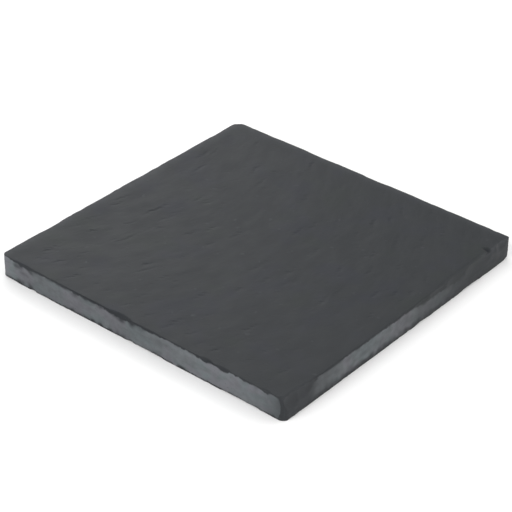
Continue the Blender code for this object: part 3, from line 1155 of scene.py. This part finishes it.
@dataclass
class SlateSlab:
    """The slab: one closed surface from the unit cube's grid, and its slate finish."""

    side: float = 100 * MM
    thickness: float = 7 * MM
    corner_radii: tuple[float, float, float, float] = (1.5 * MM, 2.0 * MM, 3.0 * MM, 0.6 * MM)
    grid: BlockGrid = field(default_factory=BlockGrid)
    cleft: CleftFace = field(default_factory=CleftFace)
    resting: RestingFace = field(default_factory=RestingFace)
    sides: CutSides = field(default_factory=CutSides)
    arrises: Arrises = field(default_factory=Arrises)
    finish: SlateFinish = SlateFinish()
    tones: tuple[SideTone, ...] = (
        SideTone(
            Side.FRONT,
            places=(-50, -46, -43, -36, -28, -20, -12, -9, -4, 4, 12, 20, 22, 26, 32, 38, 43, 46.5, 48.1),
            # The full paleness at the left end partly stands in for a highlight on that corner: painted
            # highlight.
            pale=(
                1.0, 0.98, 0.74, 0.70, 0.72, 0.76, 0.74, 0.73, 0.70, 0.74, 0.80, 0.92, 1.0, 1.0, 0.94, 0.88,
                0.76, 0.50, 0.30,
            ),
            flake_dark_and_painted_shade=(0, 0.1, 0.4, 0.45, 0.3, 0.9, 1, 1, 0.5, 0.8, 0.4, 0.4, 0.7, 1, 0.5, 0.1, 0.1, 0, 0),
            bands=(0.1, 0.2, 0.8, 0.3, 0.3, 0.6, 0.4, 1, 0.9, 0.4, 0.2, 0.3, 0.4, 0.4, 0.2, 0, 0.1, 0.1, 0.1),
            softs=(0.6, 1.4, 4.5, 1, 1.5, 1.7, 1.4, 1.6, 2.4, 1, 0.5, 0.7, 0.7, 0.6, 0.6, 0.5, 0.6, 0.7, 0.8),
            foot=0.4,
            mottle=0.16,
            end=47.9,
            bulge=0.6,
        ),
        SideTone(
            Side.RIGHT,
            places=(-41, -38.5, -37, -32, -28.5, -26, -15, -8, -2, 4, 8, 12, 20, 27, 31, 38, 39, 41, 42),
            pale=(0, 0.12, 0.44, 0.52, 0.56, 0.76, 0.74, 0.68, 0.68, 0.52, 0.38, 0.31, 0.22, 0.04) + (0,) * 5,
            # The 0.8 at 39 to 41 is painted shade in the notch there.
            flake_dark_and_painted_shade=(0, 0, 0.2, 0.6, 0.3, 0.3, 0.5, 0.4, 0.3, 0.4, 0.2, 0, 0, 0, 0, 0, 0.8, 0.8, 0),
            bands=(0, 0, 0.2, 0.3, 0.3, 0.2, 0.3, 0.3, 0.3, 0.4, 1.2, 1.4, 1.7, 1.4, 1, 0, 0, 0, 0),
            softs=(1.2, 1.2, 0.9, 0.7, 0.6, 0.6, 0.6, 0.6, 0.7, 0.9) + (1.2,) * 9,
            reach=0.5,
            spare=0.6,
            foot=2.0,
            mottle=0.28,
            lean=0.25,
        ),
        SideTone(
            Side.BACK,
            places=(-50, -30, 0, 25, 40, 46),
            pale=(0.60, 0.75, 0.60, 0.75, 0.50, 0),
            flake_dark_and_painted_shade=(0.4, 0.7, 0.4, 0.7, 0.3, 0.1),
            bands=(0.3, 0.5, 0.3, 0.6, 0.3, 0.3),
            softs=(0.6, 0.9, 0.6, 1.2, 0.6, 0.6),
        ),
        SideTone(
            Side.LEFT,
            places=(-50, -20, 10, 38, 50),
            pale=(0.90, 0.65, 0.80, 0.70, 0.60),
            flake_dark_and_painted_shade=(0.1, 0.7, 0.5, 0.6, 0.5),
            bands=(0.2, 0.5, 0.3, 0.6, 0.3),
            softs=(0.6, 1.1, 0.6, 0.9, 0.6),
        ),
    )
    # Painted highlights: paler bands along the top arrises, and down the right side near the front corner.
    arris_highlights: tuple[PaintedArrisHighlight, ...] = (
        PaintedArrisHighlight(Side.RIGHT, (-50, -42, -38), (0.7, 0.7, 0), 1.6, 1.0),
        PaintedArrisHighlight(Side.RIGHT, (30, 35, 37, 44, 50), (0, 0.35, 0.8, 0.9, 1.0), 1.0, 1.2),
        PaintedArrisHighlight(Side.RIGHT, (-50, -42, -40), (0.26, 0.26, 0), 1.0, 9.0),
        PaintedArrisHighlight(Side.BACK, (-50, 50), (1.0, 0.8), 1.8, 1.2),
        PaintedArrisHighlight(Side.LEFT, (-50, 50), (0.8, 0.9), 2.2, 1.2),
    )
    mottling: Noise = Noise(1.9 * MM, 1.5 * MM, 71)
    eased: EasedArris = EasedArris()
    flush: float = 1e-9
    under_band: float = 0.12 * MM
    end_firmness: float = 3.0
    # How deep into a flake and how high over the floor its dark reaches, and the height of the painted shade
    # line along the floor.
    flake_dark_depth: float = 0.35 * MM
    flake_dark_foot: float = 0.8 * MM
    floor_shade_height: float = 0.20 * MM

    @property
    def half(self) -> float:
        """Half the slab's side."""
        return self.side / 2

    @property
    def core_inset(self) -> float:
        """How far inside the sides the core lies that the points are pulled towards."""
        return self.thickness / 2

    def rounded_plan(self, x: Array, y: Array) -> tuple[Array, Array]:
        """The square plan, with each corner rounded in the square of its own radius.

        Args:
            x: place along X in metres.
            y: place along Y in metres.

        Returns:
            The moved places.
        """
        radius = np.array(self.corner_radii)[(x > 0) + 2 * (y > 0)]
        over_x = np.abs(x) - (self.half - radius)
        over_y = np.abs(y) - (self.half - radius)
        pull = corner_pull(over_x, over_y)
        return x - np.sign(x) * over_x * pull, y - np.sign(y) * over_y * pull

    def surface(self, unit: Array) -> tuple[Array, Array, Array]:
        """Carry the unit cube's points to the slab's surface.

        The plan is scaled and rounded, the top's and the underside's heights are blended by the square of the
        way up and down, the sides are worn back along the line from the core, one arris is eased, and the
        flakes come off.

        Args:
            unit: points from -1 to 1 in plan and 0 to 1 in height.

        Returns:
            The points, those before the flakes came off, and how clear each is of the flakes, in metres.
        """
        x, y = self.rounded_plan(self.half * unit[:, 0], self.half * unit[:, 1])
        up = unit[:, 2]
        top = self.cleft.height(x, y, self.half)
        z = self.thickness * up + top * up**2 + self.resting.height(x, y) * (1 - up) ** 2
        whole = np.column_stack((x, y, z))
        core = np.clip(whole, self.core_inset - self.half, self.half - self.core_inset)
        core[:, 2] = self.thickness / 2
        outward = (whole - core)[:, :2] / self.core_inset
        whole[:, :2] -= outward * self.sides.depth(whole, self.side)[:, None]
        whole = self.eased.ease(whole, self.thickness, self.half)
        flakes = self.arrises.flakes(self.thickness, self.half, self.corner_radii)
        points, clear = self.arrises.strike(whole, core, flakes)
        return points, whole, clear

    def shade(self, unit: Array, whole: Array, clear: Array) -> dict[str, Array]:
        """What the finish reads at each point, worked out before the flakes come off.

        Args:
            unit: points of the unit cube.
            whole: the slab's points before the flakes came off.
            clear: how clear they are of the flakes.

        Returns:
            "cut_clear", how far a point of a cut side is from the flakes and the dark bands in millimetres,
            below 0 on them and on the top and underside; "pale", how pale its side shows; then how dark its
            flakes and bands show, the darker colour of fresh breaks with painted shade under the top arrises,
            in a notch and along the floor; and last the painted highlight along the top arrises.
        """
        x, y, z = whole.T
        on_side = np.maximum(np.abs(unit[:, 0]), np.abs(unit[:, 1])) > 1 - self.flush
        headings = np.where(
            np.abs(x) > np.abs(y),
            np.where(x > 0, Side.RIGHT.value, Side.LEFT.value),
            np.where(y > 0, Side.BACK.value, Side.FRONT.value),
        )
        depth = self.thickness - z
        lengthways = np.where(np.abs(x) > np.abs(y), y, x)
        mottle = self.mottling.at(lengthways + self.side * headings, z)
        middle = self.thickness / 2 / MM
        below, flake_dark_and_painted_shade, pale, reach, to_end = np.zeros((5, len(whole)))
        for tone in self.tones:
            own = headings == tone.side.value
            place, up = lengthways[own] / MM, z[own] / MM
            under = tone.below(place, depth[own] / MM, clear[own] / MM)
            below[own] = under * MM
            pale[own] = tone.paleness(place, up, middle, under, mottle[own])
            flake_dark_and_painted_shade[own] = tone.along(place, tone.flake_dark_and_painted_shade)
            reach[own] = tone.reach
            to_end[own] = self.end_firmness * MM * tone.short_of_end(place, up, middle)
        away = np.minimum.reduce((below, z - self.under_band, to_end))
        # Painted shade with the darker fresh breaks: a band under the top arris, a band along the floor, and
        # flakes near either.
        top_band = 1 - smooth_step(depth / MM / reach - 1)
        painted_floor_shade = 1 - smooth_step(z / self.floor_shade_height - 1)
        near_arris = np.maximum(top_band, 1 - smooth_step(z / self.flake_dark_foot - 1))
        flaked = smooth_step(-clear / self.flake_dark_depth) * near_arris
        # Painted highlight along the top arrises.
        painted_arris_highlight = np.maximum.reduce([highlight.share(whole, self.thickness, self.half) for highlight in self.arris_highlights])
        return {
            "cut_clear": np.clip(np.where(on_side, away, -MM), -MM, MM) / MM,
            "pale": pale,
            "painted_arris_highlight": painted_arris_highlight,
            "flake_dark_and_painted_shade": flake_dark_and_painted_shade * np.maximum(np.where(on_side, np.maximum(top_band, painted_floor_shade), 0.0), flaked),
        }

    def build(self) -> bpy.types.Object:
        """Make the slab's mesh, with the attributes that its finish reads.

        Returns:
            The slab's object, at the origin.
        """
        unit, faces = self.grid.build()
        points, whole, clear = self.surface(unit)
        mesh = bpy.data.meshes.new("slate_stone")
        mesh.from_pydata(points.tolist(), [], faces.tolist())
        across = self.cleft.grain.across(points[:, 0], points[:, 1])
        grain = np.column_stack((across, points[:, 1], points[:, 2])) / MM
        self.store(mesh, "grain", grain)
        for name, values in self.shade(unit, whole, clear).items():
            self.store(mesh, name, values)
        mesh.shade_smooth()
        return add_object("slate_stone", mesh)

    @staticmethod
    def store(mesh: bpy.types.Mesh, name: str, values: Array) -> None:
        """Keep values for the mesh's points.

        Args:
            mesh: the mesh.
            name: the name to keep them under.
            values: a number or a vector for each point.
        """
        vector = values.ndim == 2
        layer = mesh.attributes.new(name, "FLOAT_VECTOR" if vector else "FLOAT", "POINT")
        layer.data.foreach_set("vector" if vector else "value", values.astype(np.float32).ravel())

    def dress(self, slab: bpy.types.Object) -> None:
        """Give the slab its finish and let it stand for the solid.

        Args:
            slab: the slab's object.
        """
        slab.data.materials.append(self.finish.material())
        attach(slab, BODY)
        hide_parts(NODE)


@dataclass(frozen=True)
class SoftLight:
    """A square soft light that hangs round the slab and faces it.

    The heading is in degrees from +X towards +Y, and the climb is its angle over the floor.
    """

    name: str
    heading: float
    climb: float
    distance: float
    size: float
    watts: float
    colour: Colour = (1.0, 1.0, 1.0)

    def hang(self) -> None:
        """Make the light and turn it to the slab."""
        outward = towards(math.radians(self.heading), math.radians(self.climb))
        lamp = bpy.data.lights.new(self.name, "AREA")
        lamp.shape = "SQUARE"
        lamp.size = self.size
        lamp.energy = self.watts
        lamp.color = self.colour
        light = add_object(self.name, lamp)
        light.location = outward * self.distance
        light.rotation_euler = outward.to_track_quat("Z", "Y").to_euler()


@dataclass
class Studio:
    """The pale floor, the soft lights and the camera at the photograph's angle."""

    floor_size: float = 12.0
    floor_drop: float = 0.02 * MM
    floor_colour: Colour = (0.92, 0.92, 0.92)
    floor_roughness: float = 0.9
    world_colour: Colour = (1.0, 1.0, 1.0)
    world_strength: float = 0.60
    lights: tuple[SoftLight, ...] = (
        SoftLight("window_left", 150.0, 32.0, 0.60, 0.42, 1.25),
        SoftLight("window_front", 262.0, 36.0, 0.90, 0.50, 4.8),
        SoftLight("overhead", 0.0, 78.0, 1.20, 0.90, 1.0),
        SoftLight("fill_right", 8.0, 14.0, 0.90, 0.50, 2.2, (1.0, 0.97, 0.94)),
        SoftLight("window_back", 50.0, 34.0, 0.90, 0.60, 2.4),
    )
    camera_place: tuple[float, float, float] = (0.273719, -0.337177, 0.285852)
    camera_heading: float = 129.162
    camera_dip: float = 33.040
    camera_roll: float = 1.264
    camera_focal_pixels: float = 1867.7
    camera_near: float = 10 * MM
    photo_pixels: float = 512.0
    sensor_width: float = 36.0

    def floor(self) -> None:
        """Lay the pale floor just under the slab."""
        half = self.floor_size / 2
        mesh = bpy.data.meshes.new("floor")
        corners = [(x * half, y * half, -self.floor_drop) for x, y in ((-1, -1), (1, -1), (1, 1), (-1, 1))]
        mesh.from_pydata(corners, [], [(0, 1, 2, 3)])
        sheet = Sheet("floor_paper")
        sheet.feed(sheet.shader.inputs["Base Color"], self.floor_colour)
        sheet.shader.inputs["Roughness"].default_value = self.floor_roughness
        sheet.shader.inputs["Specular IOR Level"].default_value = 0.0
        mesh.materials.append(sheet.material)
        ground = add_object("floor", mesh)

    def sky(self) -> None:
        """Fill the surroundings with even pale light."""
        world = bpy.data.worlds.new("studio")
        world.use_nodes = True
        background = world.node_tree.nodes["Background"]
        background.inputs["Color"].default_value = (*self.world_colour, 1.0)
        background.inputs["Strength"].default_value = self.world_strength
        bpy.context.scene.world = world
        bpy.context.scene.view_settings.view_transform = "Standard"

    def camera(self) -> None:
        """Stand the camera where the slab's corners fall as they do in the photograph."""
        heading, dip, roll = (
            math.radians(angle) for angle in (self.camera_heading, self.camera_dip, self.camera_roll)
        )
        forward = towards(heading, -dip)
        level = Vector((math.sin(heading), -math.cos(heading), 0.0))
        upright = level.cross(forward)
        right = math.cos(roll) * level + math.sin(roll) * upright
        up = -math.sin(roll) * level + math.cos(roll) * upright
        lens = bpy.data.cameras.new("camera")
        lens.sensor_width = self.sensor_width
        lens.lens = self.camera_focal_pixels * self.sensor_width / self.photo_pixels
        lens.clip_start = self.camera_near
        lens.dof.use_dof = False
        camera = add_object("camera", lens)
        turn = Matrix((right, up, -forward)).transposed()
        camera.matrix_world = Matrix.Translation(self.camera_place) @ turn.to_4x4()
        bpy.context.scene.camera = camera

    def set_up(self) -> None:
        """Lay the floor, hang the lights and stand the camera."""
        self.camera()
        self.floor()
        self.sky()
        for light in self.lights:
            light.hang()


def main() -> None:
    """Set up the studio, then build and dress the slab."""
    logging.basicConfig(level=logging.INFO, format="%(name)s: %(message)s")
    Studio().set_up()
    log.info("studio ready")
    slab = SlateSlab()
    stone = slab.build()
    slab.dress(stone)
    log.info("%s: %d points, %d triangles", stone.name, len(stone.data.vertices), len(stone.data.polygons))


if __name__ == "__main__":
    main()
